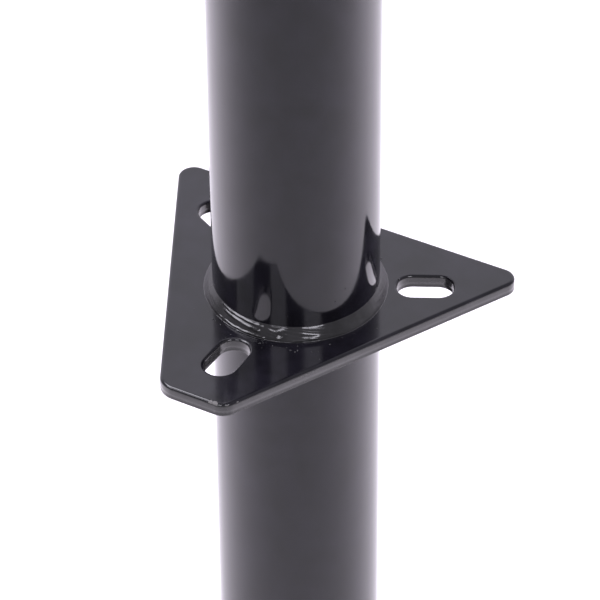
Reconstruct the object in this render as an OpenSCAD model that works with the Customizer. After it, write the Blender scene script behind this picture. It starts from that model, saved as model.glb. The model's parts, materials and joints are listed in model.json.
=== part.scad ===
// Top-wind tongue jack: a round outer tube that drops through a hole in a frame and hangs
// from a three-slot triangular flange. A crank turns a screw, and the screw drives a ram
// with a pinned foot down out of the tube.
// Origin: on the tube's axis at the underside of the flange. +Z is up, towards the crank.

/* [Outer tube] */
// Outside diameter of the outer tube
tube_d = 57.15; // [54:0.05:62]
// Wall of the outer tube
tube_wall = 2.9; // [2.5:0.1:3.4]
// Tube above the flange's underside
tube_above = 235; // [200:1:260]
// Tube below the flange's underside
tube_below = 245; // [225:1:265]

/* [Flange] */
// Thickness of the flange plate
flange_t = 4.8; // [4:0.1:7]
// How far the edge on the -X side lies from the tube's axis
side_edge_reach = 43.6; // [41:0.1:46]
// How far the edge on the -Y side lies from the tube's axis
front_edge_reach = 40.5; // [39:0.1:44]
// How far the edge on the +Y side lies from the tube's axis
back_edge_reach = 42.2; // [39:0.1:44]
// How far the cut across the front left corner lies from the tube's axis
clip_reach = 67.7; // [62:0.1:72]
// Width of the bolt slots
slot_w = 11.1; // [9:0.1:13]
// Distance between the two end centres of a slot
slot_run = 8.6; // [4:0.1:11]
// Weld leg up the tube
weld_up = 4.6; // [3:0.1:6]
// Weld leg out over the flange
weld_out = 2.9; // [2:0.1:4]

/* [Screw and bearing] */
// Outside diameter of the screw thread
screw_d = 19.05; // [18:0.05:22]
// Advance of the screw for one turn
lead = 5.08; // [5:0.01:6]
// Turns of the crank over the whole travel
turns = 70; // [50:1:70]
// Diameter of the bearing balls
ball_d = 5; // [4.6:0.1:5.4]
// Number of bearing balls
balls = 12; // [8:1:14]

/* [Ram and foot] */
// Wall of the ram tube
ram_wall = 3; // [2.6:0.1:3.4]
// Bare ram between the tube's mouth and the foot plate
ram_bare = 27; // [24:1:34]
// Length of the foot plate along X
foot_l = 127; // [100:1:150]
// Flat width of the foot plate along Y
foot_flat = 92; // [80:1:110]
// Thickness of the foot plate
foot_t = 5; // [4:0.5:6]
// Diameter of the pin that holds the foot
foot_pin_d = 12.7; // [10:0.1:13]

/* [Crank] */
// Centre distance from the screw to the grip
crank_r = 165; // [120:1:200]
// Width of the crank bar
arm_w = 26; // [22:1:32]
// Thickness of the crank bar
arm_t = 8; // [6:0.5:10]
// Length of the turning grip
grip_len = 86; // [70:1:100]
// Largest diameter of the grip
grip_d = 29; // [25:1:34]

/* [Hidden] */
$fn = 96;

paint = [0.06, 0.06, 0.065];
zinc = [0.72, 0.73, 0.74];
steel = [0.55, 0.56, 0.58];
plastic = [0.1, 0.1, 0.1];
bronze = [0.7, 0.55, 0.3];
over = 1; // cutting tools run this far past a face

tube_r = tube_d / 2;
tube_in = tube_r - tube_wall;
mouth_z = -tube_below;

// Flange edges in turn: [bearing of the outward normal, distance from the axis]
edges = [[180, side_edge_reach], [242.6, clip_reach], [305.4, front_edge_reach], [422.7, back_edge_reach]];
// Radius of the corner that follows each edge
corner_r = [8, 6, 5.2, 5.4];
// Slots: [bearing, distance of the slot's centre from the axis]
slots = [[0, 44], [241, 45], [126.5, 46]];

// Head of the tube, from the top down
block_rim = 4;
block_plug = 17;
block_bottom = tube_above - block_plug;
race_t = 2.5;
race_r = 19;
ball_r = ball_d / 2;
ball_pitch_r = 14;
ball_sink = 0.4; // how far a ball sits in each race
race_gap = 0.3; // clearance between a ball and its groove
ball_z = block_bottom - race_t - ball_r + ball_sink;
lower_race_top = ball_z - ball_r + ball_sink;
collar_h = 9;
collar_top = lower_race_top - race_t;
collar_z = collar_top - collar_h;
collar_r = 17;
cap_wall = 2;
cap_gap = 0.15;
cap_skirt = 30;
cap_top = tube_above + block_rim + cap_wall;
cap_screw_z = tube_above - 7;
cap_screw_r = 2.5;
cap_screw_at = [90, 210, 330]; // bearings of the cap screws
bush_wall = 2.5;
grease_at = 90; // bearing of the grease fitting
grease_z = collar_z + 2;
grease_r = 3;

// Screw
screw_r = screw_d / 2;
thread_depth = lead / 2;
thread_flat = 0.3707 * lead;
flank = (lead - 2 * thread_flat) / 2;
shank_r = 7.95;
run_gap = 0.05; // radial clearance of a running fit
collar_pin_r = 2.5;
collar_pin_z = collar_z + collar_h / 2;
travel = turns * lead;
land = 9.8; // plain shoulder under the collar

// Ram
ram_r = tube_in - 0.275;
ram_in = ram_r - ram_wall;
nut_rim = 4;
nut_h = 24;
nut_under_collar = 2;
ram_top = collar_z - nut_under_collar - nut_rim;
ram_bottom = mouth_z - ram_bare;
thread_bottom = ram_top - nut_h - travel - 1;
stop_washer_t = 4;
stop_washer_r = 18;
stop_nut_h = 11;
stop_nut_r = 11;
stop_r = 6;
screw_end = thread_bottom - stop_washer_t - stop_nut_h - 2;
key_at = 90; // bearing of the guide key
key_z = mouth_z + 15;
key_r = 3;
key_depth = 1.6;
key_side = 0.5;

// Foot
foot_turn_up = 10;
foot_lip = 16;
socket_r = ram_in - 0.2;
socket_wall = 4;
socket_h = 24;
pin_r = foot_pin_d / 2;
pin_z = ram_bottom + 13;
pin_head_t = 4;
clip_x = ram_r + 6;
wire_r = 1.2;

// Crank
washer_t = 2;
hub_washer_r = 17;
grip_washer_r = 11;
end_play = 0.3;
hub_z = cap_top + end_play + washer_t;
hub_h = 25;
hub_r = 14;
arm_z = hub_z + 4;
arm_weld_leg = 3;
hub_pin_z = hub_z + hub_h - 5;
hub_pin_r = 3;
hub_pin_wall = 1.1;
spindle_r = 6;
rivet_r = 9.5; // head of the spindle under the arm
rivet_h = 3.5;
grip_z = arm_z + arm_t + washer_t + end_play;

// Where the lines of two flange edges meet, each edge moved in by r
function meet(a, b, r) =
    let (da = a[1] - r, db = b[1] - r, s = sin(b[0] - a[0]))
    [(da * sin(b[0]) - db * sin(a[0])) / s, (db * cos(a[0]) - da * cos(b[0])) / s];

function heading(a) = [cos(a), sin(a)];

// Centre of the rounding that follows edge i
function corner(i) = meet(edges[i], edges[(i + 1) % len(edges)], corner_r[i]);

// A ring of revolution about Z
module ring(r_out, r_in, z0, h) {
    translate([0, 0, z0])
        difference() {
            cylinder(r = r_out, h = h);
            translate([0, 0, -over])
                cylinder(r = r_in, h = h + 2 * over);
        }
}

// A rod along local Z, pointed out along bearing a at height z, from radius r0 to r1
module radial_rod(a, z, r, r0, r1) {
    rotate([0, 0, a])
        translate([r0, 0, z])
            rotate([0, 90, 0])
                cylinder(r = r, h = r1 - r0);
}

// A rounded slot lying along X, centred on the origin
module slot_shape() {
    square([slot_run, slot_w], center = true);
    for (s = [-1, 1])
        translate([s * slot_run / 2, 0])
            circle(r = slot_w / 2);
}

// Plan outline of the flange: straight edges joined by tangent arcs
module flange_outline() {
    polygon([
        for (i = [0:len(edges) - 1])
            for (e = [i, (i + 1) % len(edges)])
                corner(i) + corner_r[i] * heading(edges[e][0])
    ]);
    for (i = [0:len(edges) - 1])
        translate(corner(i))
            circle(r = corner_r[i]);
}

module outer_tube() {
    color(paint)
        difference() {
            ring(tube_r, tube_in, mouth_z, tube_above - mouth_z);
            for (a = cap_screw_at)
                radial_rod(a, cap_screw_z, cap_screw_r, tube_in - over, tube_r + over);
            radial_rod(grease_at, grease_z, grease_r, tube_in - over, tube_r + over);
            radial_rod(key_at, key_z, key_r, tube_in - over, tube_r + over);
        }
}

module mounting_flange() {
    color(paint)
        linear_extrude(height = flange_t)
            difference() {
                flange_outline();
                circle(r = tube_r);
                for (s = slots)
                    rotate(s[0])
                        translate([s[1], 0])
                            slot_shape();
            }
}

module flange_weld() {
    color(paint)
        rotate_extrude()
            translate([tube_r, flange_t])
                polygon([[0, 0], [weld_out, 0], [0, weld_up]]);
}

// Turned plug in the top of the tube: it takes the screw's thrust
module bearing_block() {
    color(steel)
        difference() {
            union() {
                translate([0, 0, block_bottom])
                    cylinder(r = tube_in, h = block_plug);
                translate([0, 0, tube_above])
                    cylinder(r = tube_r, h = block_rim);
            }
            translate([0, 0, block_bottom - over])
                cylinder(r = shank_r + bush_wall, h = block_plug + block_rim + 2 * over);
            for (a = cap_screw_at)
                radial_rod(a, cap_screw_z, cap_screw_r, tube_in - 6, tube_in + over);
        }
}

// A flat washer with a ball groove on the face at height z
module race(z0, groove_z, bore) {
    color(steel)
        difference() {
            ring(race_r, bore, z0, race_t);
            translate([0, 0, groove_z])
                rotate_extrude()
                    translate([ball_pitch_r, 0])
                        circle(r = ball_r + race_gap);
        }
}

module upper_race() {
    race(block_bottom - race_t, ball_z, shank_r + 0.6);
}

module lower_race() {
    race(collar_top, ball_z, shank_r);
}

module shank_bush() {
    color(bronze)
        ring(shank_r + bush_wall, shank_r + run_gap, block_bottom, block_plug + block_rim);
}

module dust_cap() {
    skirt_r = tube_r + cap_gap;
    color(paint)
        difference() {
            translate([0, 0, cap_top - cap_skirt])
                cylinder(r = skirt_r + cap_wall, h = cap_skirt);
            translate([0, 0, cap_top - cap_skirt - over])
                cylinder(r = skirt_r, h = cap_skirt - cap_wall + over);
            translate([0, 0, cap_top - cap_wall - over])
                cylinder(r = shank_r + 1, h = cap_wall + 2 * over);
            for (a = cap_screw_at)
                radial_rod(a, cap_screw_z, cap_screw_r, tube_r - over, skirt_r + cap_wall + over);
        }
}

module cap_screws() {
    head_r = tube_r + cap_gap + cap_wall;
    color(zinc)
        for (a = cap_screw_at) {
            radial_rod(a, cap_screw_z, cap_screw_r, tube_in - 5.5, head_r);
            rotate([0, 0, a])
                translate([head_r, 0, cap_screw_z])
                    rotate([0, 90, 0])
                        difference() {
                            intersection() {
                                cylinder(r = 4.6, h = 3);
                                translate([0, 0, -4.2])
                                    sphere(r = 7);
                            }
                            for (t = [0, 90])
                                rotate([0, 0, t])
                                    translate([-2.6, -0.5, 1.4])
                                        cube([5.2, 1, 3]);
                        }
        }
}

module grease_fitting() {
    color(zinc)
        rotate([0, 0, grease_at]) {
            radial_rod(0, grease_z, grease_r, tube_in + 0.3, tube_r + 1);
            translate([tube_r + 0.05, 0, grease_z])
                rotate([0, 90, 0]) {
                    cylinder(r = 4.6, h = 3.6, $fn = 6);
                    translate([0, 0, 3.6])
                        cylinder(r1 = 3.4, r2 = 2.2, h = 2, $fn = 48);
                    translate([0, 0, 5.6])
                        cylinder(r = 2.2, h = 2);
                    translate([0, 0, 8.6])
                        sphere(r = 3);
                }
        }
}

// Plug welded in the tube wall: it runs in the ram's groove and stops the ram turning
module guide_key() {
    color(paint)
        radial_rod(key_at, key_z, key_r, ram_r - key_depth + 0.3, tube_r + 0.5);
}

// Thread drawn as rings of the true trapezoid section
module drive_screw() {
    ridges = floor((collar_z - land - thread_bottom) / lead);
    root_r = screw_r - thread_depth;
    color(steel)
        difference() {
            rotate_extrude()
                polygon([
                    [0, screw_end],
                    [stop_r - 1, screw_end],
                    [stop_r, screw_end + 1],
                    [stop_r, thread_bottom],
                    for (i = [0:ridges - 1])
                        let (z = thread_bottom + i * lead)
                            each [
                                [root_r, z],
                                [root_r, z + thread_flat],
                                [screw_r, z + thread_flat + flank],
                                [screw_r, z + 2 * thread_flat + flank]
                            ],
                    [root_r, thread_bottom + ridges * lead],
                    [screw_r, thread_bottom + ridges * lead + flank],
                    [screw_r, collar_z],
                    [shank_r, collar_z],
                    [shank_r, hub_z + hub_h + 1],
                    [shank_r - 1, hub_z + hub_h + 2],
                    [0, hub_z + hub_h + 2]
                ]);
            cross_rod(collar_pin_z, collar_pin_r, screw_d);
            cross_rod(hub_pin_z, hub_pin_r, screw_d);
        }
}

// A rod across the axis along X, centred, at height z
module cross_rod(z, r, h) {
    translate([0, 0, z])
        rotate([0, 90, 0])
            cylinder(r = r, h = h, center = true);
}

module thrust_collar() {
    color(steel)
        difference() {
            ring(collar_r, shank_r, collar_z, collar_h);
            cross_rod(collar_pin_z, collar_pin_r, 3 * collar_r);
        }
}

module collar_pin() {
    color(zinc)
        cross_rod(collar_pin_z, collar_pin_r, 2 * collar_r - 1);
}

module stop_washer() {
    color(zinc)
        ring(stop_washer_r, stop_r, thread_bottom - stop_washer_t, stop_washer_t);
}

module stop_nut() {
    color(zinc)
        translate([0, 0, thread_bottom - stop_washer_t - stop_nut_h])
            difference() {
                cylinder(r = stop_nut_r, h = stop_nut_h, $fn = 6);
                translate([0, 0, -over])
                    cylinder(r = stop_r, h = stop_nut_h + 2 * over);
            }
}

module hub_washer() {
    color(zinc)
        ring(hub_washer_r, shank_r + 0.2, cap_top + end_play, washer_t);
}

module crank_hub() {
    color(paint)
        difference() {
            ring(hub_r, shank_r, hub_z, hub_h);
            cross_rod(hub_pin_z, hub_pin_r, 3 * hub_r);
        }
}

// Slotted spring pin: a rolled tube with a gap
module hub_pin() {
    color(zinc)
        translate([0, 0, hub_pin_z])
            rotate([0, 90, 0])
                difference() {
                    cylinder(r = hub_pin_r, h = 2 * hub_r + 2, center = true);
                    cylinder(r = hub_pin_r - hub_pin_wall, h = 2 * hub_r + 4, center = true);
                    translate([0, -0.5, -hub_r - 2])
                        cube([hub_pin_r + 1, 1, 2 * hub_r + 4]);
                }
}

module crank_arm() {
    color(paint)
        translate([0, 0, arm_z])
            linear_extrude(height = arm_t)
                difference() {
                    union() {
                        circle(r = hub_r + 7);
                        translate([-arm_w / 2, 0])
                            square([arm_w, crank_r]);
                        translate([0, crank_r])
                            circle(r = arm_w / 2);
                    }
                    circle(r = hub_r);
                    translate([0, crank_r])
                        circle(r = spindle_r);
                }
}

module arm_weld() {
    color(paint)
        rotate_extrude()
            translate([hub_r, arm_z + arm_t])
                polygon([[0, 0], [arm_weld_leg, 0], [0, arm_weld_leg]]);
}

// Upright rod that the grip turns on, riveted through the end of the arm
module grip_spindle() {
    top = grip_z + grip_len + 4;
    color(zinc)
        translate([0, crank_r, 0])
            rotate_extrude()
                polygon([
                    [0, arm_z - rivet_h],
                    [rivet_r - 3, arm_z - rivet_h],
                    [rivet_r, arm_z - 1],
                    [rivet_r, arm_z],
                    [spindle_r, arm_z],
                    [spindle_r, top - 1],
                    [spindle_r - 1, top],
                    [0, top]
                ]);
}

module grip_washer() {
    color(zinc)
        translate([0, crank_r, 0])
            ring(grip_washer_r, spindle_r, arm_z + arm_t, washer_t);
}

module grip_end_cap() {
    z = grip_z + grip_len + end_play;
    color(plastic)
        translate([0, crank_r, z])
            difference() {
                rotate_extrude()
                    intersection() {
                        translate([0, -14])
                            circle(r = 21);
                        square([grip_washer_r, 10]);
                    }
                translate([0, 0, -over])
                    cylinder(r = spindle_r, h = 4 - end_play + over);
            }
}

// Barrel grip with a thumb flange at its foot
module crank_grip() {
    r = grip_d / 2;
    color(plastic)
        translate([0, crank_r, grip_z])
            difference() {
                rotate_extrude()
                    polygon([
                        [0, 0],
                        [r - 1, 0],
                        [r, 1],
                        [r, 5],
                        [r - 3, 9],
                        for (t = [0:10])
                            [r - 3 + 2.4 * sin(18 * t), 9 + (grip_len - 15) * t / 10],
                        [r - 5, grip_len - 1.6],
                        [r - 8, grip_len],
                        [0, grip_len]
                    ]);
                translate([0, 0, -over])
                    cylinder(r = spindle_r + 0.08, h = grip_len + 2 * over);
            }
}

module ball_cage() {
    color(bronze)
        difference() {
            ring(race_r - 1, ball_pitch_r - 4, ball_z - 0.8, 1.6);
            for (i = [0:balls - 1])
                rotate([0, 0, i * 360 / balls])
                    translate([ball_pitch_r, 0, ball_z - 2])
                        cylinder(r = ball_r + 0.05, h = 4);
        }
}

module bearing_balls() {
    color(zinc)
        for (i = [0:balls - 1])
            rotate([0, 0, i * 360 / balls])
                translate([ball_pitch_r, 0, ball_z])
                    sphere(r = ball_r);
}

// Drawn tube with a closed groove for the guide key and a cross hole for the foot pin
module ram_tube() {
    groove_w = 2 * (key_r + key_side);
    groove_z = key_z - key_r - 3;
    color(zinc)
        difference() {
            ring(ram_r, ram_in, ram_bottom, ram_top - ram_bottom);
            translate([-groove_w / 2, ram_r - key_depth, groove_z])
                cube([groove_w, 2 * key_depth, travel + 2 * key_r + 6]);
            cross_rod(pin_z, pin_r + 0.15, 3 * ram_r);
        }
}

// Flanged nut pressed into the top of the ram
module lift_nut() {
    color(bronze)
        difference() {
            union() {
                translate([0, 0, ram_top - nut_h])
                    cylinder(r = ram_in, h = nut_h);
                translate([0, 0, ram_top])
                    cylinder(r = ram_r - 0.2, h = nut_rim);
            }
            translate([0, 0, ram_top - nut_h - over])
                cylinder(r = screw_r + run_gap, h = nut_h + nut_rim + 2 * over);
        }
}

module foot_socket() {
    color(zinc)
        difference() {
            ring(socket_r, socket_r - socket_wall, ram_bottom, socket_h);
            cross_rod(pin_z, pin_r + 0.15, 3 * ram_r);
        }
}

// Pressed plate with both long edges turned up
module foot_plate() {
    half = foot_flat / 2;
    tip = half + foot_lip;
    color(zinc)
        translate([-foot_l / 2, 0, ram_bottom])
            rotate([90, 0, 90])
                linear_extrude(height = foot_l)
                    polygon([
                        [-half, -foot_t],
                        [half, -foot_t],
                        [tip, foot_turn_up - foot_t],
                        [tip - 2.6, foot_turn_up - 0.6],
                        [half - 1.5, 0],
                        [-half + 1.5, 0],
                        [-tip + 2.6, foot_turn_up - 0.6],
                        [-tip, foot_turn_up - foot_t]
                    ]);
}

module foot_weld() {
    color(zinc)
        rotate_extrude()
            translate([socket_r - socket_wall, ram_bottom])
                polygon([[0, 0], [0, 4], [-4, 0]]);
}

// Clevis pin through the ram and the foot's socket, with a hole for the clip
module foot_pin() {
    color(zinc)
        translate([0, 0, pin_z])
            rotate([0, 90, 0])
                difference() {
                    union() {
                        translate([0, 0, -ram_r - 1])
                            cylinder(r = pin_r, h = clip_x + ram_r + 6);
                        translate([0, 0, -ram_r - 1 - pin_head_t])
                            cylinder(r = pin_r + 3.5, h = pin_head_t);
                    }
                    translate([0, 0, clip_x])
                        rotate([0, 90, 0])
                            cylinder(r = wire_r + 0.2, h = 3 * pin_r, center = true);
                }
}

// Hairpin clip: one straight leg through the pin, one leg outside it
module hairpin_clip() {
    loop_r = (pin_r + wire_r + 0.3) / 2;
    color(zinc)
        translate([clip_x, 0, pin_z]) {
            translate([0, 0, -12])
                cylinder(r = wire_r, h = 30);
            translate([0, loop_r, 18])
                rotate([90, 0, 90])
                    rotate_extrude(angle = 180)
                        translate([loop_r, 0])
                            circle(r = wire_r);
            translate([0, 2 * loop_r, -5])
                cylinder(r = wire_r, h = 23);
            translate([0, 2 * loop_r + 6, -5])
                rotate([90, 0, 90])
                    rotate([0, 0, 180])
                        rotate_extrude(angle = 50)
                            translate([6, 0])
                                circle(r = wire_r);
        }
}

outer_tube();
mounting_flange();
flange_weld();
bearing_block();
upper_race();
shank_bush();
dust_cap();
cap_screws();
grease_fitting();
guide_key();
drive_screw();
thrust_collar();
collar_pin();
lower_race();
stop_washer();
stop_nut();
hub_washer();
crank_hub();
hub_pin();
crank_arm();
arm_weld();
grip_spindle();
grip_washer();
grip_end_cap();
crank_grip();
ball_cage();
bearing_balls();
ram_tube();
lift_nut();
foot_socket();
foot_plate();
foot_weld();
foot_pin();
hairpin_clip();
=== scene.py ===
"""Looks of a top-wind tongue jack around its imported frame.

The tube, flange and crank are gloss black, and the ram, foot and fasteners are zinc plated.
"""

import json
import math
import random

import bmesh
import bpy
from mathutils import Matrix, Vector, noise


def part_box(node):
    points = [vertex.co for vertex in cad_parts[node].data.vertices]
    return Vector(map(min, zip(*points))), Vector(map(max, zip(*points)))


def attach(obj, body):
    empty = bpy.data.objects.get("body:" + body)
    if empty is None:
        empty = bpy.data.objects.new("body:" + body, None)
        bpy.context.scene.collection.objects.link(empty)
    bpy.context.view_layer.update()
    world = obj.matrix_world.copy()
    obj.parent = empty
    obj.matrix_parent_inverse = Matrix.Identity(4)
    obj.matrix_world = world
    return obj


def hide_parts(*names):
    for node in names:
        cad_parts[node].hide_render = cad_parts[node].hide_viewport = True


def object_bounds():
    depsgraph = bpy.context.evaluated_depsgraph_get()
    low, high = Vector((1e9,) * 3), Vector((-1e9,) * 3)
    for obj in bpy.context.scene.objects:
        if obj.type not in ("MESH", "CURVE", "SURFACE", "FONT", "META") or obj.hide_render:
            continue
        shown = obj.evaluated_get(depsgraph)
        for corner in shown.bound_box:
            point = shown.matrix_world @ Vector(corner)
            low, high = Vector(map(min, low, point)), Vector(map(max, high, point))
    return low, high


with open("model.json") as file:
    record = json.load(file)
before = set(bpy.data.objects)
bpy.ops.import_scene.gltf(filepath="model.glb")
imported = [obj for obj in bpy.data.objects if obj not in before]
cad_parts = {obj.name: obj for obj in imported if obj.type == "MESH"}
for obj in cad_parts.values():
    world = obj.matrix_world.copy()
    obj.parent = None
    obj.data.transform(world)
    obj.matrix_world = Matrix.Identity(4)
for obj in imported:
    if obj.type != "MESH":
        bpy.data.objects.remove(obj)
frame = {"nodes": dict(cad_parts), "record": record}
CAD_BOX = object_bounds()
NODES = frame["nodes"]
MM = 0.001

# Camera: where it stands, seen from the tube's axis at the flange's top face
CAMERA_AZIMUTH = 2.2
CAMERA_ELEVATION = 38.6
CAMERA_DISTANCE = 1.3303
CAMERA_PITCH = 38.83
CAMERA_YAW = -0.07
CAMERA_ROLL = -0.47
CAMERA_LENS = 234.4

# The floor lies where the foot stands with the ram run right out
TRAVEL = 0.3556
FLOOR_Z = CAD_BOX[0].z - TRAVEL
FLOOR_HALF = 12

# Studio: brightness of the surround behind and in front, and of the two side lights, with their places
BACK_LIGHT = 1.31
FRONT_LIGHT = 0.45
SIDE_LIGHT = 4.5
SIDE_BEARINGS = {"light_left": 155, "light_right": 25}
SIDE_ELEVATION, SIDE_DISTANCE, SIDE_SIZE = 40, 1.6, 1.37
COOL = (1.0, 0.975, 1.08)
WARM = (1.0, 0.92, 1.05)

# Lamps that are only seen in the gloss: name, bearing, elevation, size, brightness
LAMP_DISTANCE = 0.9
LAMPS = [
    ("lamp_left", 199, 40, 0.36, 4.6),
    ("lamp_front", 248, 40, 0.26, 7.5),
    ("lamp_right", 294, 40, 0.28, 9),
    ("lamp_high", 168, 56, 0.42, 9),
]


# ---------------------------------------------------------------- camera and stage
def make_camera():
    flange_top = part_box("mounting_flange")[1].z
    a, e = math.radians(CAMERA_AZIMUTH), math.radians(CAMERA_ELEVATION)
    away = Vector((math.sin(a) * math.cos(e), -math.cos(a) * math.cos(e), math.sin(e)))
    turn = (
        Matrix.Rotation(math.radians(CAMERA_AZIMUTH + CAMERA_YAW), 3, "Z")
        @ Matrix.Rotation(math.radians(90 - CAMERA_PITCH), 3, "X")
        @ Matrix.Rotation(math.radians(CAMERA_ROLL), 3, "Z")
    )
    data = bpy.data.cameras.new("camera")
    data.sensor_width = 36
    data.lens = CAMERA_LENS
    data.clip_end = 20
    camera = bpy.data.objects.new("camera", data)
    camera.location = Vector((0, 0, flange_top)) + away * CAMERA_DISTANCE
    camera.rotation_euler = turn.to_euler()
    bpy.context.scene.collection.objects.link(camera)
    bpy.context.scene.camera = camera


def new_material(name):
    material = bpy.data.materials.new(name)
    material.use_nodes = True
    tree = material.node_tree
    return material, tree, tree.nodes["Principled BSDF"]


def make_floor():
    mesh = bpy.data.meshes.new("floor")
    signs = [(-1, -1), (1, -1), (1, 1), (-1, 1)]
    mesh.from_pydata([(x * FLOOR_HALF, y * FLOOR_HALF, FLOOR_Z) for x, y in signs], [], [(0, 1, 2, 3)])
    floor = bpy.data.objects.new("floor", mesh)
    bpy.context.scene.collection.objects.link(floor)
    material, _, shader = new_material("floor_white")
    shader.inputs["Base Color"].default_value = (0.92, 0.92, 0.92, 1)
    shader.inputs["Roughness"].default_value = 0.9
    shader.inputs["Specular IOR Level"].default_value = 0
    mesh.materials.append(material)


def make_world():
    """A surround that is bright behind the object and dims softly towards the front."""
    world = bpy.data.worlds.new("studio")
    world.use_nodes = True
    tree = world.node_tree
    background = tree.nodes["Background"]
    back = one_axis(tree, "Generated", "Y")
    light = spread(tree, back, (0.15, 0.72), (FRONT_LIGHT, BACK_LIGHT), smooth=True)
    tree.links.new(light, background.inputs["Strength"])
    background.inputs["Color"].default_value = (*COOL, 1)
    bpy.context.scene.world = world
    bpy.context.scene.view_settings.view_transform = "Standard"


def soft_light(name, bearing, elevation, distance, size, radiance, aim=(0, 0, 0), colour=COOL, fill=True):
    """A square light at a bearing, elevation and distance from its aim, with a given brightness of its face.

    A fill light only brightens. The others are only mirrored.
    """
    data = bpy.data.lights.new(name, "AREA")
    data.shape = "SQUARE"
    data.size = size
    data.energy = radiance * math.pi * size * size
    data.color = colour
    light = bpy.data.objects.new(name, data)
    b, e = math.radians(bearing), math.radians(elevation)
    away = Vector((math.cos(b) * math.cos(e), math.sin(b) * math.cos(e), math.sin(e)))
    light.location = Vector(aim) + away * distance
    light.rotation_euler = (-away).to_track_quat("-Z", "Y").to_euler()
    light.visible_camera = False
    light.visible_glossy = not fill
    light.visible_diffuse = fill
    bpy.context.scene.collection.objects.link(light)


def make_lights():
    for name, bearing in SIDE_BEARINGS.items():
        place = (bearing, SIDE_ELEVATION, SIDE_DISTANCE, SIDE_SIZE)
        soft_light(name, *place, SIDE_LIGHT, (0, 0, FLOOR_Z), WARM)
    for name, bearing, elevation, size, radiance in LAMPS:
        soft_light(name, bearing, elevation, LAMP_DISTANCE, size, radiance, fill=False)


# ---------------------------------------------------------------- mesh helpers (all in millimetres)
def clamp(value):
    return min(1.0, max(0.0, value))


def arc(cx, cy, r, start, end, steps):
    """Points on an arc, with the angles in degrees."""
    turn = [math.radians(start + (end - start) * i / steps) for i in range(steps + 1)]
    return [(cx + r * math.cos(t), cy + r * math.sin(t)) for t in turn]


def filleted(corners, steps=6):
    """A closed outline through (x, y, radius) corners, each rounded by a tangent arc of that radius."""
    out = []
    for i, (x, y, r) in enumerate(corners):
        here = Vector((x, y))
        if r <= 0:
            out.append((x, y))
            continue
        before = (Vector(corners[i - 1][:2]) - here).normalized()
        after = (Vector(corners[(i + 1) % len(corners)][:2]) - here).normalized()
        half = before.angle(after) / 2
        reach = r / math.tan(half)
        middle = here + (before + after).normalized() * (r / math.sin(half))
        start = here + before * reach - middle
        end = here + after * reach - middle
        sweep = start.angle_signed(end)
        for k in range(steps + 1):
            turn = Matrix.Rotation(-sweep * k / steps, 2)
            out.append(tuple(middle + turn @ start))
    return out


def make_object(name, bm, smooth_angle=35, place=None):
    """Turns a bmesh in millimetres into a smooth-shaded object in metres."""
    bmesh.ops.recalc_face_normals(bm, faces=bm.faces)
    if place is not None:
        bmesh.ops.transform(bm, matrix=place, verts=bm.verts)
    bmesh.ops.scale(bm, vec=(MM, MM, MM), verts=bm.verts)
    mesh = bpy.data.meshes.new(name)
    bm.to_mesh(mesh)
    bm.free()
    mesh.shade_smooth()
    mesh.set_sharp_from_angle(angle=math.radians(smooth_angle))
    piece = bpy.data.objects.new(name, mesh)
    bpy.context.scene.collection.objects.link(piece)
    weighted = piece.modifiers.new("weighted", "WEIGHTED_NORMAL")
    weighted.keep_sharp = True
    weighted.weight = 80
    return piece


def clean(bm):
    """Merges the points that meet on an axis."""
    bmesh.ops.remove_doubles(bm, verts=bm.verts, dist=1e-5)
    bmesh.ops.dissolve_degenerate(bm, edges=bm.edges, dist=1e-6)


def skin(bm, rings, gaps=()):
    """Joins a closed row of closed rings of points. Gaps numbers the points with no face after them."""
    count = len(rings[0])
    for one, two in zip(rings, rings[1:] + rings[:1]):
        for i in range(count):
            if i not in gaps:
                j = (i + 1) % count
                bm.faces.new((one[i], two[i], two[j], one[j]))


def revolve_into(bm, profile, segments=96, shift=None, about=(0, 0)):
    """Adds a closed (r, z) outline turned about Z. shift(angle, r, z) may return a moved (r, z)."""
    rings = []
    for k in range(segments):
        a = 2 * math.pi * k / segments
        ring = []
        for r, z in profile:
            if shift:
                r, z = shift(a, r, z)
            ring.append(bm.verts.new((about[0] + r * math.cos(a), about[1] + r * math.sin(a), z)))
        rings.append(ring)
    on_axis = [r < 1e-6 for r, _ in profile]
    gaps = {i for i in range(len(profile)) if on_axis[i] and on_axis[(i + 1) % len(profile)]}
    skin(bm, rings, gaps)
    clean(bm)


def revolved(name, profile, segments=96, shift=None, about=(0, 0), place=None, smooth_angle=35):
    bm = bmesh.new()
    revolve_into(bm, profile, segments, shift, about)
    return make_object(name, bm, smooth_angle, place)


def plate_into(bm, loops, levels):
    """Adds a plate from its loops, the outline first.

    A loop is a list of (x, y, nx, ny), with normals out of the material. Levels are rows of (inset, z),
    one list for each loop, and the last list serves every loop that is left.
    """
    made = []
    for number, loop in enumerate(loops):
        rows = []
        for inset, z in levels[min(number, len(levels) - 1)]:
            rows.append([bm.verts.new((x - inset * nx, y - inset * ny, z)) for x, y, nx, ny in loop])
        made.append(rows)
        count = len(loop)
        for low, high in zip(rows, rows[1:]):
            for i in range(count):
                j = (i + 1) % count
                bm.faces.new((low[i], low[j], high[j], high[i]))
    for row in (0, -1):
        edges = []
        for rows in made:
            ring = rows[row]
            for i in range(len(ring)):
                a, b = ring[i], ring[(i + 1) % len(ring)]
                edges.append(bm.edges.get((a, b)) or bm.edges.new((a, b)))
        bmesh.ops.triangle_fill(bm, use_beauty=True, use_dissolve=False, edges=edges)


def plate(name, loops, *levels, place=None):
    """A plate as an object of its own."""
    bm = bmesh.new()
    plate_into(bm, loops, levels)
    return make_object(name, bm, place=place)


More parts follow.
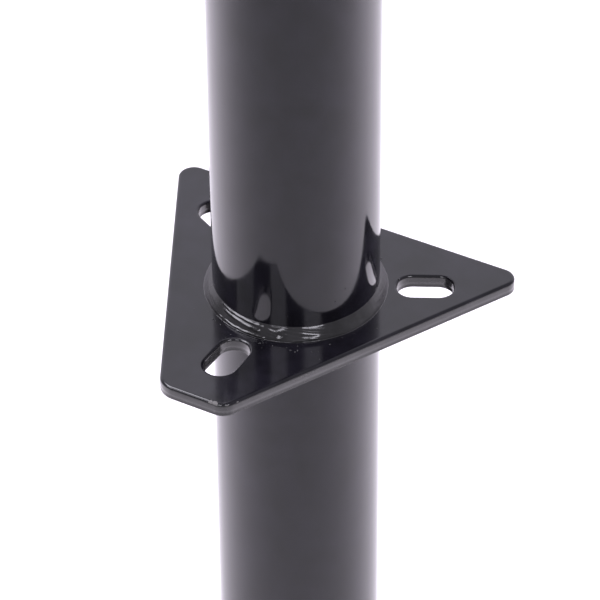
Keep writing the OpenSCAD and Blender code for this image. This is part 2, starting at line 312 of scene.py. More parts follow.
def round_levels(z0, z1, low, high, steps=6):
    """Rows of (inset, z) for a plate's edge, with a radius of low at z0 and of high at z1.

    A thin flat margin lies on each face, so that the rounded edge shades apart from it.
    """
    margin = 0.25
    rows = [(low + margin, z0)]
    for k in range(steps + 1):
        t = math.pi / 2 * k / steps
        rows.append((low * (1 - math.sin(t)), z0 + low * (1 - math.cos(t))))
    for k in range(steps + 1):
        t = math.pi / 2 * k / steps
        rows.append((high * (1 - math.cos(t)), z1 - high * (1 - math.sin(t))))
    rows.append((high + margin, z1))
    return rows


def loop_arc(cx, cy, r, start, end, steps, outward=1):
    """Loop points on an arc. outward is 1 where the material is inside the arc and -1 where it is outside."""
    out = []
    for k in range(steps + 1):
        t = math.radians(start + (end - start) * k / steps)
        u, v = math.cos(t), math.sin(t)
        out.append((cx + r * u, cy + r * v, outward * u, outward * v))
    return out


def circle_hole(cx, cy, r, steps=64):
    return loop_arc(cx, cy, r, 0, 360, steps, -1)[:-1]


def swept_into(bm, path, radius, sides=16):
    """Adds a round rod along a path of points, with its two ends domed."""
    points = [Vector(p) for p in path]
    tangents = []
    for i in range(len(points)):
        tangents.append((points[min(i + 1, len(points) - 1)] - points[max(i - 1, 0)]).normalized())
    side = tangents[0].orthogonal().normalized()
    dome = [(radius * math.cos(t), radius * math.sin(t)) for t in (math.pi / 8 * k for k in range(4))]
    stations = [(points[0] - tangents[0] * back, tangents[0], r) for back, r in dome]
    stations += [(p, t, radius) for p, t in zip(points, tangents)]
    stations += [(points[-1] + tangents[-1] * ahead, tangents[-1], r) for ahead, r in reversed(dome)]
    rings = []
    for centre, tangent, r in stations:
        side = (side - tangent * side.dot(tangent)).normalized()
        other = tangent.cross(side)
        ring = []
        for k in range(sides):
            a = 2 * math.pi * k / sides
            ring.append(bm.verts.new(centre + (side * math.cos(a) + other * math.sin(a)) * r))
        rings.append(ring)
    for one, two in zip(rings, rings[1:]):
        for k in range(sides):
            bm.faces.new((one[k], one[(k + 1) % sides], two[(k + 1) % sides], two[k]))
    clean(bm)


def fit(piece, body, node, slot, look=None):
    """Gives a piece its material and body, and hides the CAD node it stands for. The look is the slot's own,
    unless it is named.
    """
    piece.data.materials.append(LOOKS[look or slot])
    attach(piece, body)
    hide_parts(node)


def box_mm(node):
    low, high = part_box(node)
    return low / MM, high / MM


# ---------------------------------------------------------------- materials
def shade(tree, kind, **values):
    """A new node with some of its sockets set by name."""
    node = tree.nodes.new(kind)
    for key, value in values.items():
        node.inputs[key].default_value = value
    return node


def raw_noise(tree, scale, detail=2):
    """Noise on object coordinates, with its scale per metre."""
    place = tree.nodes.new("ShaderNodeTexCoord")
    grain = shade(tree, "ShaderNodeTexNoise", Scale=scale, Detail=detail)
    tree.links.new(place.outputs["Object"], grain.inputs["Vector"])
    return grain.outputs["Fac"]


def spread(tree, value, source, target=(0, 1), smooth=False):
    """Maps a value from one range to another."""
    node = tree.nodes.new("ShaderNodeMapRange")
    node.interpolation_type = "SMOOTHSTEP" if smooth else "LINEAR"
    for key, amount in zip(("From Min", "From Max", "To Min", "To Max"), (*source, *target)):
        node.inputs[key].default_value = amount
    tree.links.new(value, node.inputs["Value"])
    return node.outputs["Result"]


def noise_map(tree, scale, low, high, detail=2):
    """Noise spread between two values."""
    return spread(tree, raw_noise(tree, scale, detail), (0.3, 0.7), (low, high))


def one_axis(tree, kind, axis):
    """One axis of the texture coordinates of that kind."""
    place = tree.nodes.new("ShaderNodeTexCoord")
    axes = tree.nodes.new("ShaderNodeSeparateXYZ")
    tree.links.new(place.outputs[kind], axes.inputs[0])
    return axes.outputs[axis]


def maths(tree, operation, *values):
    """A sum on numbers and sockets."""
    node = tree.nodes.new("ShaderNodeMath")
    node.operation = operation
    for socket, value in zip(node.inputs, values):
        if isinstance(value, (int, float)):
            socket.default_value = value
        else:
            tree.links.new(value, socket)
    return node.outputs[0]


def bump(tree, height, distance, under=None):
    node = shade(tree, "ShaderNodeBump", Strength=1.0, Distance=distance)
    tree.links.new(height, node.inputs["Height"])
    if under is not None:
        tree.links.new(under, node.inputs["Normal"])
    return node.outputs["Normal"]


def mix_colour(tree, factor, one, two):
    node = tree.nodes.new("ShaderNodeMix")
    node.data_type = "RGBA"
    tree.links.new(factor, node.inputs["Factor"])
    for socket, value in ((6, one), (7, two)):
        if isinstance(value, tuple):
            node.inputs[socket].default_value = (*value, 1)
        else:
            tree.links.new(value, node.inputs[socket])
    return node.outputs[2]


BLACK = (0.0072, 0.0068, 0.0100)
WELD_BLACK = (0.021, 0.021, 0.0215)
PRIMER = (0.16, 0.155, 0.15)


def spots(tree, points, radius):
    """A mask that is 1 near any of the points (in millimetres) and 0 elsewhere, with ragged outlines."""
    place = tree.nodes.new("ShaderNodeTexCoord")
    ragged = raw_noise(tree, 1400, 3)
    total = None
    for x, y, z, size in points:
        near = tree.nodes.new("ShaderNodeVectorMath")
        near.operation = "DISTANCE"
        near.inputs[1].default_value = (x * MM, y * MM, z * MM)
        tree.links.new(place.outputs["Object"], near.inputs[0])
        grown = maths(tree, "MULTIPLY_ADD", near.outputs["Value"], -1 / (radius * size * MM), ragged)
        total = grown if total is None else maths(tree, "MAXIMUM", total, grown)
    return spread(tree, total, (-0.55, -0.35))


def black_coat(name="black_coat", dull=0.0, base=BLACK, chips=(), satin_and_sheen=None):
    """Gloss black stoved enamel: faint orange peel, uneven gloss, and paint chips at the points given.

    The last argument is (y where it starts, y where it is full, added roughness, tone): towards +Y the film
    is rougher, and its colour goes to that lighter tone, which is a painted sheen.
    """
    material, tree, shader = new_material(name)
    film = noise_map(tree, 110, 0.0, 1.0, detail=8)
    colour = mix_colour(tree, film, tuple(c * 0.55 for c in base), tuple(c * 1.7 for c in base))
    gloss = noise_map(tree, 90, 0.07 + dull, 0.13 + dull, detail=5)
    if satin_and_sheen:
        start, full, added, sheen_tone = satin_and_sheen
        mask = spread(tree, one_axis(tree, "Object", "Y"), (start * MM, full * MM))
        # Painted sheen: towards +Y, the far side of the weld, the colour is lightened to the given tone
        colour = mix_colour(tree, mask, colour, (sheen_tone, sheen_tone * 0.98, sheen_tone * 1.04))
        gloss = maths(tree, "MULTIPLY_ADD", mask, added, gloss)
    if chips:
        chipped = spots(tree, chips, 0.8)
        colour = mix_colour(tree, chipped, colour, PRIMER)
        rough = tree.nodes.new("ShaderNodeMix")
        tree.links.new(chipped, rough.inputs[0])
        tree.links.new(gloss, rough.inputs[2])
        rough.inputs[3].default_value = 0.55
        gloss = rough.outputs[0]
    tree.links.new(colour, shader.inputs["Base Color"])
    tree.links.new(gloss, shader.inputs["Roughness"])
    peel = bump(tree, raw_noise(tree, 900), 0.000004)
    wave = bump(tree, raw_noise(tree, 140), 0.00002, under=peel)
    tree.links.new(wave, shader.inputs["Normal"])
    return material


def sheared_edge():
    """Thin enamel over a sheared edge: greyer, with fine upright shear marks."""
    material, tree, shader = new_material("black_coat_sheared")
    shader.inputs["Specular IOR Level"].default_value = 0.85
    place = tree.nodes.new("ShaderNodeTexCoord")
    long_z = tree.nodes.new("ShaderNodeMapping")
    long_z.inputs["Scale"].default_value = (1, 1, 0.12)
    tree.links.new(place.outputs["Object"], long_z.inputs["Vector"])
    marks = shade(tree, "ShaderNodeTexNoise", Scale=2200, Detail=3)
    tree.links.new(long_z.outputs["Vector"], marks.inputs["Vector"])
    patch = noise_map(tree, 220, 0.0, 1.0, detail=4)
    colour = mix_colour(tree, patch, (0.020, 0.0197, 0.020), (0.034, 0.0335, 0.0335))
    tree.links.new(colour, shader.inputs["Base Color"])
    tree.links.new(noise_map(tree, 200, 0.16, 0.24, detail=4), shader.inputs["Roughness"])
    tree.links.new(bump(tree, marks.outputs["Fac"], 0.000008), shader.inputs["Normal"])
    return material


def zinc_plate():
    """Bright zinc plate: bluish, with faint cloudy patches and fine scratches."""
    material, tree, shader = new_material("zinc_plate")
    shader.inputs["Metallic"].default_value = 1
    cloud = noise_map(tree, 45, 0.0, 1.0, detail=6)
    colour = mix_colour(tree, cloud, (0.50, 0.515, 0.54), (0.60, 0.605, 0.60))
    tree.links.new(colour, shader.inputs["Base Color"])
    tree.links.new(noise_map(tree, 70, 0.26, 0.36, detail=3), shader.inputs["Roughness"])
    pits = bump(tree, raw_noise(tree, 1500, 4), 0.000008)
    tree.links.new(pits, shader.inputs["Normal"])
    return material


def lathe_rings(tree, pitch, low, high):
    """Fine turning marks: bands along Z, with their pitch in millimetres."""
    place = tree.nodes.new("ShaderNodeTexCoord")
    band = shade(tree, "ShaderNodeTexWave", Scale=1 / (pitch * MM * math.tau), Distortion=0.6, Detail=2)
    band.bands_direction = "Z"
    tree.links.new(place.outputs["Object"], band.inputs["Vector"])
    return spread(tree, band.outputs["Fac"], (0, 1), (low, high))


def turned_metal(name, dark, light, roughness):
    """Turned metal with fine rings and an oily, uneven gloss."""
    material, tree, shader = new_material(name)
    shader.inputs["Metallic"].default_value = 1
    cloud = noise_map(tree, 70, 0.0, 1.0, detail=5)
    tree.links.new(mix_colour(tree, cloud, dark, light), shader.inputs["Base Color"])
    tree.links.new(lathe_rings(tree, 0.5, roughness * 0.75, roughness * 1.25), shader.inputs["Roughness"])
    tree.links.new(bump(tree, lathe_rings(tree, 0.5, 0, 1), 0.00001), shader.inputs["Normal"])
    return material


def black_plastic():
    """Moulded plastic: fine spark-eroded grain, semi-gloss."""
    material, tree, shader = new_material("black_plastic")
    tone = noise_map(tree, 80, 0.0, 1.0, detail=3)
    colour = mix_colour(tree, tone, (0.017, 0.017, 0.018), (0.024, 0.024, 0.025))
    tree.links.new(colour, shader.inputs["Base Color"])
    tree.links.new(noise_map(tree, 300, 0.34, 0.48, detail=4), shader.inputs["Roughness"])
    tree.links.new(bump(tree, raw_noise(tree, 2600, 1), 0.00002), shader.inputs["Normal"])
    return material


# ---------------------------------------------------------------- tube and flange
TUBE_R = 28.575
TUBE_WALL = 2.9
# Flange edges and slots: (bearing, distance from the axis), and the corners' radii in the same order
EDGES = [(180, 43.6), (242.6, 67.7), (305.4, 40.5), (422.7, 42.2)]
CORNER_R = [8, 6, 5.2, 5.4]
SLOTS = [(0, 44), (241, 45), (126.5, 46)]
SLOT_W = 11.1
SLOT_RUN = 8.6
# Roll-over radius of the punched edges
FLANGE_ROLL = 1.2
SLOT_ROLL = 0.9
# A face counts as sheared where the Z of its normal is under this
SHEARED_SLOPE = 0.35
# Paint knocked off the plate: (x, y, z, size)
FLANGE_CHIPS = [
    (-26.2, -62.2, 4.3, 1.1),
    (-24.6, -62.9, 4.3, 1.3),
    (-20.6, -63.7, 4.2, 0.5),
    (-17.1, -61.8, 4.3, 0.5),
    (49.7, -16.0, 4.2, 0.6),
]
WELD_UP = 4.6
WELD_OUT = 2.9


def meet(one, two, r):
    """Where two flange edges meet, each moved in by r."""
    a, b = math.radians(one[0]), math.radians(two[0])
    da, db = one[1] - r, two[1] - r
    s = math.sin(b - a)
    return (da * math.sin(b) - db * math.sin(a)) / s, (db * math.cos(a) - da * math.cos(b)) / s


def flange_loop():
    out = []
    for i, edge in enumerate(EDGES):
        after = EDGES[(i + 1) % len(EDGES)]
        cx, cy = meet(edge, after, CORNER_R[i])
        sweep = (after[0] - edge[0]) % 360
        out += loop_arc(cx, cy, CORNER_R[i], edge[0], edge[0] + sweep, 14)
    return out


def slot_loop(bearing, distance):
    turn = Matrix.Rotation(math.radians(bearing), 2)
    out = []
    for end in (1, -1):
        centre = (distance + end * SLOT_RUN / 2, 0)
        middle = 0 if end == 1 else 180
        for x, y, nx, ny in loop_arc(*centre, SLOT_W / 2, middle - 90, middle + 90, 18, -1):
            out.append((*(turn @ Vector((x, y))), *(turn @ Vector((nx, ny)))))
    return out


def sheared_levels(z0, z1, roll):
    """A punched edge: rolled over at the top, a burnished land, then a slightly stepped broken zone."""
    rows = round_levels(z0, z1, 0.12, roll, 7)
    split = len(rows) // 2
    side = [(0.06, z0 + 0.7), (0.12, z0 + 1.0), (0.10, z0 + 1.5), (0.0, z0 + 1.9), (-0.03, z0 + 2.4)]
    return rows[:split] + side + rows[split:]


def make_flange():
    low, high = box_mm("mounting_flange")
    outline = sheared_levels(low.z, high.z, FLANGE_ROLL)
    hole = sheared_levels(low.z, high.z, SLOT_ROLL)
    loops = [flange_loop(), *[slot_loop(*s) for s in SLOTS], circle_hole(0, 0, TUBE_R + 0.02, 96)]
    piece = plate("flange_plate", loops, outline, hole)
    fit(piece, "tube", "mounting_flange", "black_coat", "flange_coat")
    piece.data.materials.append(LOOKS["sheared_edge"])
    for face in piece.data.polygons:
        face.material_index = int(abs(face.normal.z) < SHEARED_SLOPE)


def make_tube():
    low, high = box_mm("outer_tube")
    inner = TUBE_R - TUBE_WALL
    corners = [(inner, low.z, 0.5), (TUBE_R, low.z, 0.9), (TUBE_R, high.z, 0.3), (inner, high.z, 0.3)]
    piece = revolved("tube_shell", filleted(corners, 4), 256)
    fit(piece, "tube", "outer_tube", "black_coat")


def ridge(t, centre, width):
    return math.exp(-(((t - centre) / width) ** 2))


def bead(base_r, base_z, out, up, seed, seams=(), crater=None):
    """A smooth welded ring with a paint fillet at each toe.

    Each seam is a raised line in the face: (first bearing, last bearing, t at each, width, height).
    The crater is (bearing, t, radius). t runs from 0 at the lower toe to 1 at the upper one.
    """
    bm = bmesh.new()
    rows = 34
    face_length = math.hypot(out, up)
    segments = int(2 * math.pi * (base_r + out / 2) / 0.28)
    rings = []

    def drift(a, speed, offset):
        """Noise that runs round the ring and closes on itself."""
        return noise.noise(Vector((math.cos(a) * speed, math.sin(a) * speed, seed + offset)))

    for k in range(segments):
        bearing = 360 * k / segments
        a = math.radians(bearing)
        toe = 0.16 * drift(a, 3, 0) + 0.10 * drift(a, 16, 5)
        crown = 0.14 * drift(a, 2.6, 9) + 0.08 * drift(a, 14, 12)
        lines = []
        for first, last, t_first, t_last, width, height in seams:
            part = (bearing - first) / (last - first)
            if 0 < part < 1:
                fade = min(1.0, part * (last - first) / 2.5, (1 - part) * (last - first) / 2.5)
                wander = 0.03 * drift(a, 12, first)
                lines.append((t_first + (t_last - t_first) * part + wander, width, height * fade))
        ring = []
        for i in range(rows + 1):
            t = i / rows
            swell = math.sin(math.pi * t)
            push = 0.09 * swell + 0.05 * swell * drift(a + t, 9, 2) + 0.004 * swell * drift(a + 2 * t, 60, 7)
            push -= 0.16 * ridge(t, 0, 0.09) + 0.10 * ridge(t, 1, 0.06)
            for centre, width, height in lines:
                push += height * ridge(t, centre, width)
            if crater:
                along = math.radians(bearing - crater[0]) * base_r
                across = math.hypot(along, (t - crater[1]) * face_length)
                push += 0.09 * ridge(across, crater[2], 0.28) - 0.14 * ridge(across, 0, crater[2] * 0.7)
            r = base_r + (out + toe) * (1 - t) + push * 0.85
            z = base_z + (up + crown) * t + push * 0.53
            if i == 0:
                r, z = base_r + out + toe + 0.18, base_z - 0.03
            if i == rows:
                r, z = base_r - 0.03, base_z + up + crown + 0.12
            ring.append(bm.verts.new((r * math.cos(a), r * math.sin(a), z)))
        for r, z in ((base_r - 0.4, base_z + up * 0.5), (base_r - 0.4, base_z - 0.4)):
            ring.append(bm.verts.new((r * math.cos(a), r * math.sin(a), z)))
        rings.append(ring)
    skin(bm, rings)
    return bm


def add_drop(bm, centre, normal, r):
    """A weld spatter drop: a flattened dome sunk a little into the surface."""
    turn = Vector((0, 0, 1)).rotation_difference(Vector(normal)).to_matrix().to_4x4()
    place = Matrix.Translation(centre) @ turn @ Matrix.Diagonal((r, r, r * 0.7, 1))
    bmesh.ops.create_icosphere(bm, subdivisions=3, radius=1, matrix=place)


# Raised lines in the flange weld. The ring was closed at the front left, where two runs overlap
WELD_SEAMS = [
    (212, 250, 0.92, 0.78, 0.06, 0.26),
    (216, 249, 0.72, 0.44, 0.09, 0.34),
    (213, 253, 0.16, 0.10, 0.06, 0.28),
    (253, 263, 0.90, 0.92, 0.04, 0.10),
    (264, 271, 0.91, 0.89, 0.04, 0.12),
    (267, 288, 0.06, 0.22, 0.05, 0.15),
    (273, 289, 0.24, 0.28, 0.05, 0.11),
    (180, 214, 0.52, 0.62, 0.16, 0.08),
]
WELD_CRATER = (261, 0.45, 1.25)
DROPS_ON_PLATE = 34
DROPS_ON_TUBE = 14


def make_flange_weld():
    plate_top = box_mm("mounting_flange")[1].z
    bm = bead(TUBE_R, plate_top, WELD_OUT, WELD_UP, 3.7, WELD_SEAMS, WELD_CRATER)
    draw = random.Random(11)
    for _ in range(DROPS_ON_PLATE):
        bearing = math.radians(draw.gauss(262, 38))
        reach = TUBE_R + WELD_OUT + abs(draw.gauss(0, 4)) + 0.8
        size = draw.uniform(0.12, 0.34)
        add_drop(bm, (reach * math.cos(bearing), reach * math.sin(bearing), plate_top), (0, 0, 1), size)
    for _ in range(DROPS_ON_TUBE):
        bearing = math.radians(draw.gauss(275, 40))
        up = plate_top + WELD_UP + abs(draw.gauss(0, 5)) + 0.6
        side = (math.cos(bearing), math.sin(bearing), 0)
        add_drop(bm, (TUBE_R * side[0], TUBE_R * side[1], up), side, draw.uniform(0.1, 0.22))
    piece = make_object("flange_bead", bm, 70)
    fit(piece, "tube", "flange_weld", "black_coat", "weld_coat")


# ---------------------------------------------------------------- head of the tube
CAP_SCREW_BEARINGS = (90, 210, 330)


def make_dust_cap():
    low, high = box_mm("dust_cap")
    outer, wall = high.x, 2
    bore = 8.95
    corners = [
        (outer - wall, low.z, 0.4),
        (outer, low.z, 0.9),
        (outer, high.z, 3.2),
        (bore + 3.5, high.z, 0.4),
        (bore + 2.6, high.z - 0.6, 0.4),
        (bore, high.z - 0.6, 0.4),
        (bore, high.z - wall, 0.3),
        (outer - wall, high.z - wall, 1.2),
    ]
    piece = revolved("cap_shell", filleted(corners, 7), 192)
    fit(piece, "tube", "dust_cap", "black_coat")


def screw_head_into(bm, place):
    """A pan head with a cross recess: a dome whose height drops inside the cross."""
    head_r, head_h = 4.6, 2.8
    columns, rows = 72, 22
    bar, reach, depth = 0.62, 2.7, 1.7
    centre = bm.verts.new(place @ Vector((0, 0, head_h - depth)))
    previous = None
    for i in range(1, rows + 1):
        r = head_r * min(1.0, (i / (rows - 3)) ** 0.9)
        ring = []
        for k in range(columns):
            a = 2 * math.pi * k / columns
            x, y = r * math.cos(a), r * math.sin(a)
            dome = head_h * math.sqrt(max(0.0, 1 - (0.82 * r / head_r) ** 4))
            if i >= rows - 2:
                dome *= (rows - i) / 3
            across = min(abs(x), abs(y))
            along = max(abs(x), abs(y))
            inside = clamp((bar + 0.2 - across) / 0.2) * clamp((reach - along) / 0.5)
            ring.append(bm.verts.new(place @ Vector((x, y, dome - depth * inside * (i < rows - 2)))))
        if previous is None:
            for k in range(columns):
                bm.faces.new((centre, ring[k], ring[(k + 1) % columns]))
        else:
            for k in range(columns):
                j = (k + 1) % columns
                bm.faces.new((previous[k], ring[k], ring[j], previous[j]))
        previous = ring
    bm.faces.new(list(reversed(previous)))


def make_cap_screws():
    low, high = box_mm("cap_screws")
    z = (low.z + high.z) / 2
    seat = TUBE_R + 2.1
    bm = bmesh.new()
    for bearing in CAP_SCREW_BEARINGS:
        turn = Matrix.Rotation(math.radians(bearing), 4, "Z") @ Matrix.Translation((seat, 0, z))
        twist = Matrix.Rotation(math.radians(bearing * 0.7), 4, "Z")
        screw_head_into(bm, turn @ Matrix.Rotation(math.pi / 2, 4, "Y") @ twist)
    piece = make_object("cap_screw_heads", bm, 40)
    fit(piece, "tube", "cap_screws", "zinc_plate")


def hex_into(bm, across, height, chamfer, place):
    """A hexagon along local Z, with the corners of its top chamfered at that angle."""
    columns = 72
    flat = across / 2 - 0.1
    low, high, top = [], [], []
    for k in range(columns):
        a = 2 * math.pi * k / columns
        r = across / 2 / math.cos((a + math.pi / 6) % (math.pi / 3) - math.pi / 6)
        drop = max(0.0, r - flat) * math.tan(math.radians(chamfer))
        c, s = math.cos(a), math.sin(a)
        low.append(bm.verts.new(place @ Vector((r * c, r * s, 0))))
        high.append(bm.verts.new(place @ Vector((r * c, r * s, height - drop))))
        top.append(bm.verts.new(place @ Vector((flat * c, flat * s, height))))
    for k in range(columns):
        j = (k + 1) % columns
        bm.faces.new((low[k], low[j], high[j], high[k]))
        bm.faces.new((high[k], high[j], top[j], top[k]))
    bm.faces.new(top)
    bm.faces.new(list(reversed(low)))


def make_grease_fitting():
    low, high = box_mm("grease_fitting")
    z = (low.z + high.z) / 2
    lay = Matrix.Translation((0, TUBE_R + 0.05, z)) @ Matrix.Rotation(-math.pi / 2, 4, "X")
    bm = bmesh.new()
    hex_into(bm, 8, 3.4, 35, lay)
    stem = [(0, 3.2, 0), (3.3, 3.2, 0.3), (2.5, 5.4, 0.4), (2.0, 6.8, 0.5), (3.0, 8.2, 0.9)]
    ball = [(2.7, 10.4, 0.9), (0.9, 11.5, 0.2), (0.7, 10.9, 0), (0, 10.9, 0)]
    stem_mesh = bmesh.new()
    revolve_into(stem_mesh, filleted(stem + ball, 5), 48)
    bmesh.ops.transform(stem_mesh, matrix=lay, verts=stem_mesh.verts)
    scratch = bpy.data.meshes.new("stem")
    stem_mesh.to_mesh(scratch)
    stem_mesh.free()
    bm.from_mesh(scratch)
    bpy.data.meshes.remove(scratch)
    piece = make_object("grease_nipple", bm, 30)
    fit(piece, "tube", "grease_fitting", "zinc_plate")


def make_guide_key():
    low, high = box_mm("guide_key")
    z = (low.z + high.z) / 2

    def dome(a, r, y):
        ripple = 0.06 * noise.noise(Vector((r * math.cos(a), r * math.sin(a), 5.3)) * 0.9)
        return r, y + ripple * (y > 0.05)

    crown = [(3.4, 0.0), (3.15, 0.22), (2.6, 0.38), (1.8, 0.46), (0.9, 0.5), (0, 0.5)]
    profile = [(3.4, -1.0), *crown, (0, -1.0)]
    lay = Matrix.Translation((0, TUBE_R - 0.05, z)) @ Matrix.Rotation(-math.pi / 2, 4, "X")
    piece = revolved("guide_plug", profile, 48, dome, place=lay, smooth_angle=60)
    fit(piece, "tube", "guide_key", "black_coat")


# ---------------------------------------------------------------- crank
CRANK_REACH = 165
GRIP_AXIS = (0, CRANK_REACH)


def sleeve(bore, outer, low, high, radii, steps):
    """The outline of a ring from its bore, outer radius, heights and four corner radii."""
    corners = [(bore, low), (outer, low), (outer, high), (bore, high)]
    return filleted([(*corner, r) for corner, r in zip(corners, radii)], steps)


def make_hub_washer():
    low, high = box_mm("hub_washer")
    profile = sleeve(8.2, high.x, low.z, high.z, (0.2, 0.25, 0.6, 0.2), 5)
    fit(revolved("hub_thrust_washer", profile, 128), "screw", "hub_washer", "zinc_plate")


def make_crank_hub():
    low, high = box_mm("crank_hub")
    profile = sleeve(7.97, high.x, low.z, high.z, (0.3, 0.6, 1.5, 0.8), 6)
    fit(revolved("hub_sleeve", profile, 128), "screw", "crank_hub", "black_coat")


def make_hub_pin():
    low, high = box_mm("hub_pin")
    r, wall, gap = 3.0, 1.1, 20
    outer = loop_arc(0, 0, r, gap / 2, 360 - gap / 2, 40)
    inner = loop_arc(0, 0, r - wall, 360 - gap / 2, gap / 2, 32, -1)
    middle = (low + high) / 2
    lay = Matrix.Translation((0, 0, middle.z)) @ Matrix.Rotation(math.pi / 2, 4, "Y")
    piece = plate("spring_pin", [outer + inner], round_levels(low.x, high.x, 0.35, 0.35, 3), place=lay)
    fit(piece, "screw", "hub_pin", "zinc_plate")


def arm_loop():
    """Round eye about the hub, straight bar along Y and half-round end, filleted where eye meets bar."""
    eye, half, blend = 21.0, 13.0, 9.0
    fillet_y = math.sqrt((eye + blend) ** 2 - (half + blend) ** 2)
    turn = math.degrees(math.atan2(fillet_y, half + blend))
    out = loop_arc(half + blend, fillet_y, blend, 180 + turn, 180, 8, -1)
    out += loop_arc(*GRIP_AXIS, half, 0, 180, 28)
    out += loop_arc(-half - blend, fillet_y, blend, 0, -turn, 8, -1)
    out += loop_arc(0, 0, eye, 180 - turn, 360 + turn, 48)[1:-1]
    return out


def make_crank_arm():
    low, high = box_mm("crank_arm")
    loops = [arm_loop(), circle_hole(0, 0, 13.98), circle_hole(*GRIP_AXIS, 5.98)]
    piece = plate("crank_bar", loops, round_levels(low.z, high.z, 0.9, 1.3, 6))
    fit(piece, "screw", "crank_arm", "black_coat")


def make_arm_weld():
    bm = bead(14, box_mm("arm_weld")[0].z, 2.8, 2.8, 8.2)
    fit(make_object("hub_bead", bm, 70), "screw", "arm_weld", "black_coat")


def make_spindle():
    low, high = box_mm("grip_spindle")
    shoulder = low.z + 3.5
    head = [(0, low.z + 0.3, 0), (5.5, low.z, 2.5), (9.4, low.z + 2.1, 0.9), (9.4, shoulder, 0.2)]
    shank = [(6, shoulder, 0), (6, high.z, 1.0), (0, high.z, 0)]
    piece = revolved("spindle_rivet", filleted(head + shank, 6), 96, about=GRIP_AXIS)
    fit(piece, "screw", "grip_spindle", "zinc_plate")


def make_grip_washer():
    low, high = box_mm("grip_washer")
    profile = sleeve(6.02, 11, low.z, high.z, (0.2, 0.3, 0.6, 0.3), 5)
    fit(revolved("spindle_washer", profile, 96, about=GRIP_AXIS), "screw", "grip_washer", "zinc_plate")


def make_end_cap():
    low, high = box_mm("grip_end_cap")
    profile = [(0, low.z), *arc(10.4, low.z + 0.6, 0.6, -90, 0, 4)]
    top = high.z - low.z
    sphere = (11**2 + (top - 1.5) ** 2) / (2 * (top - 1.5))
    start = math.degrees(math.acos(10.9 / sphere))
    profile += arc(0, high.z - sphere, sphere, start, 90, 12)
    piece = revolved("spindle_end_cap", profile, 96, about=GRIP_AXIS)
    fit(piece, "screw", "grip_end_cap", "black_plastic")


def make_grip():
    """A barrel grip with shallow flutes, a thumb flange and a faint moulding line."""
    low, high = box_mm("crank_grip")
    length = high.z - low.z
    r = 14.5
    bm = bmesh.new()
    rows = 70
    flutes = 14
    columns = flutes * 12
    profile = [(6.08, 0.4), (6.5, 0.0), (r - 0.8, 0.0), (r - 0.25, 0.2), (r, 0.8), (r, 4.6), (r - 0.4, 5.4)]
    for k in range(rows + 1):
        t = k / rows
        profile.append((r - 3 + 2.4 * math.sin(math.pi * t), 8.2 + (length - 14.5) * t))
    profile += [(r - 3.2, length - 4.6), (r - 4.0, length - 2.4), (r - 5.4, length - 0.8)]
    profile += [(r - 7.2, length), (6.5, length), (6.08, length - 0.4)]
    flute_low, flute_high = 12.0, length - 10.0

    def carve(a, radius, z):
        if radius < 8:
            return radius, z + low.z
        run = clamp((z - flute_low) / 6) * clamp((flute_high - z) / 6)
        run = run * run * (3 - 2 * run)
        groove = (0.5 - 0.5 * math.cos(flutes * a)) ** 1.6
        from_line = abs(((a + math.pi / 2) % math.pi) - math.pi / 2) * radius
        line = 0.14 * max(0.0, 1 - from_line / 0.35)
        return radius - 0.75 * run * groove + line * (1 - run), z + low.z

    revolve_into(bm, profile, columns, carve, GRIP_AXIS)
    fit(make_object("grip_barrel", bm, 45), "grip", "crank_grip", "black_plastic")


# ---------------------------------------------------------------- ram and foot
def make_ram():
    """Drawn tube with a closed groove down the side for the guide key."""
    low, high = box_mm("ram_tube")
    r = 25.4
    inner = r - 3
    depth, half = 1.6, 3.5
    groove_low, groove_high = -236.0, 131.6
    bm = bmesh.new()
    regular = [360 * k / 160 for k in range(160)]
    edge = math.degrees(half / r)
    lip = math.degrees(0.12 / r)
    to_groove = [edge + lip, edge, edge - lip, edge / 2]
    angles = sorted(
        [a for a in regular if abs(a - 90) > edge + 1.2]
        + [90 - a for a in to_groove] + [90] + [90 + a for a in to_groove]
    )
    heights = [low.z + 0.6, groove_low - 0.2, groove_low, groove_low + 0.2]
    heights += [groove_low + (groove_high - groove_low) * k / 24 for k in range(1, 24)]
    heights += [groove_high - 0.2, groove_high, groove_high + 0.2, high.z - 0.4]
    rings = []
    for a in angles:
        t = math.radians(a)
        inside_a = clamp((edge - abs(a - 90)) / lip)
        ring = [(inner, low.z + 0.4), (inner + 0.4, low.z), (r - 0.6, low.z), (r - 0.18, low.z + 0.18)]
        for z in heights:
            inside_z = clamp((z - groove_low) / 0.2) * clamp((groove_high - z) / 0.2)
            ring.append((r - depth * inside_a * inside_z, z))
        ring += [(r - 0.4, high.z), (inner, high.z)]
        rings.append([bm.verts.new((p * math.cos(t), p * math.sin(t), z)) for p, z in ring])
    skin(bm, rings)
    fit(make_object("ram_shell", bm, 40), "ram", "ram_tube", "zinc_plate")


def make_foot_plate():
    """Pressed plate with both long edges turned up on a bend radius."""
    low, high = box_mm("foot_plate")
    half, thick = 46.0, 5.0
    tip, z = high.y, low.z
    corners = [
        (-half, z, 7),
        (half, z, 7),
        (tip, z + 10, 1.4),
        (tip - 2.6, z + 14.4, 1.2),
        (half - 1.5, z + thick, 3),
        (-half + 1.5, z + thick, 3),
        (-tip + 2.6, z + 14.4, 1.2),
        (-tip, z + 10, 1.4),
    ]
    points = filleted(corners, 7)
    loop = []
    for i, p in enumerate(points):
        before, after = Vector(points[i - 1]), Vector(points[(i + 1) % len(points)])
        along = (after - before).normalized()
        loop.append((*p, along.y, -along.x))
    lay = Matrix(((0, 0, 1, 0), (1, 0, 0, 0), (0, 1, 0, 0), (0, 0, 0, 1)))
    piece = plate("foot_pad", [loop], round_levels(low.x, high.x, 1.0, 1.0, 5), place=lay)
    fit(piece, "ram", "foot_plate", "zinc_plate")


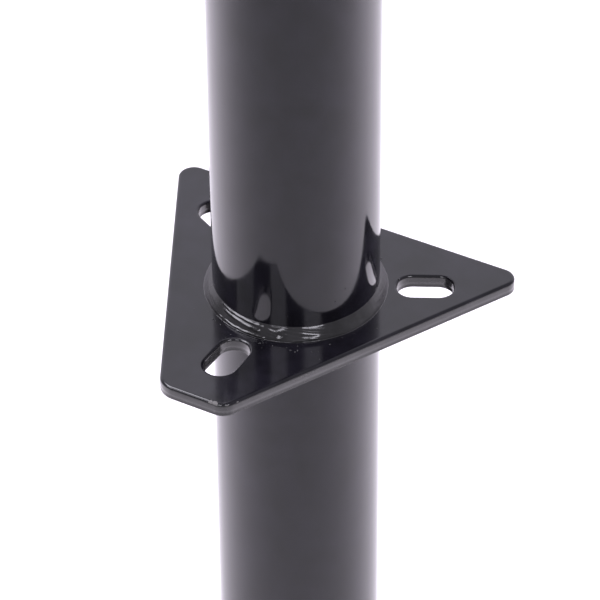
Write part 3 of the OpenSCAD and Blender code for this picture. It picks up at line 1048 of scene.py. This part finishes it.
def make_foot_pin():
    low, high = box_mm("foot_pin")
    z = (low.z + high.z) / 2
    pin_r, head_r, head_t = 6.35, 9.85, 4.0
    seat = low.x + head_t
    head = [(0, low.x, 0), (head_r, low.x, 1.2), (head_r, seat, 0.5)]
    shank = [(pin_r, seat, 0.4), (pin_r, high.x, 1.4), (0, high.x, 0)]
    lay = Matrix.Translation((0, 0, z)) @ Matrix.Rotation(math.pi / 2, 4, "Y")
    fit(revolved("clevis_pin", filleted(head + shank, 6), 96, place=lay), "ram", "foot_pin", "zinc_plate")


def make_hairpin():
    """One leg through the pin, a half-turn loop above it, and the other leg with a flared tip."""
    low, high = box_mm("hairpin_clip")
    x = (low.x + high.x) / 2
    pin_z = low.z + 12.0
    loop_r = (6.35 + 1.2 + 0.3) / 2
    loop_z = pin_z + 18
    far = 2 * loop_r
    half_turn = [math.pi * k / 18 for k in range(19)]
    flare = [math.radians(5 * k) for k in range(11)]
    path = [(0, pin_z - 11 + 29 * k / 20) for k in range(20)]
    path += [(loop_r - loop_r * math.cos(t), loop_z + loop_r * math.sin(t)) for t in half_turn]
    path += [(far, loop_z - 23 * k / 16) for k in range(1, 16)]
    path += [(far + 6 - 6 * math.cos(t), pin_z - 5 - 6 * math.sin(t)) for t in flare]
    bm = bmesh.new()
    swept_into(bm, [(x, y, z) for y, z in path], 1.2, 20)
    fit(make_object("hairpin_wire", bm, 60), "ram", "hairpin_clip", "zinc_plate")


# ---------------------------------------------------------------- all together
def make_looks():
    return {
        "black_coat": black_coat(),
        "flange_coat": black_coat("black_coat_flange", 0.015, chips=FLANGE_CHIPS),
        # The weld is rougher towards +Y, and its colour there is lightened to a painted sheen
        "weld_coat": black_coat("black_coat_weld", 0.02, WELD_BLACK, satin_and_sheen=(-17, 3, 0.28, 0.055)),
        "sheared_edge": sheared_edge(),
        "zinc_plate": zinc_plate(),
        "machined_steel": turned_metal("machined_steel", (0.36, 0.36, 0.365), (0.48, 0.48, 0.47), 0.32),
        "bronze": turned_metal("bronze", (0.50, 0.34, 0.16), (0.66, 0.47, 0.24), 0.38),
        "black_plastic": black_plastic(),
    }


def dress_cad_nodes():
    for row in frame["record"]["subparts"]:
        mesh = NODES[row["node"]].data
        mesh.materials.clear()
        mesh.materials.append(LOOKS[row["material_slot"]])


make_camera()
make_floor()
make_world()
make_lights()
LOOKS = make_looks()
dress_cad_nodes()
for make_piece in (
    make_tube,
    make_flange,
    make_flange_weld,
    make_dust_cap,
    make_cap_screws,
    make_grease_fitting,
    make_guide_key,
    make_hub_washer,
    make_crank_hub,
    make_hub_pin,
    make_crank_arm,
    make_arm_weld,
    make_spindle,
    make_grip_washer,
    make_end_cap,
    make_grip,
    make_ram,
    make_foot_plate,
    make_foot_pin,
    make_hairpin,
):
    make_piece()
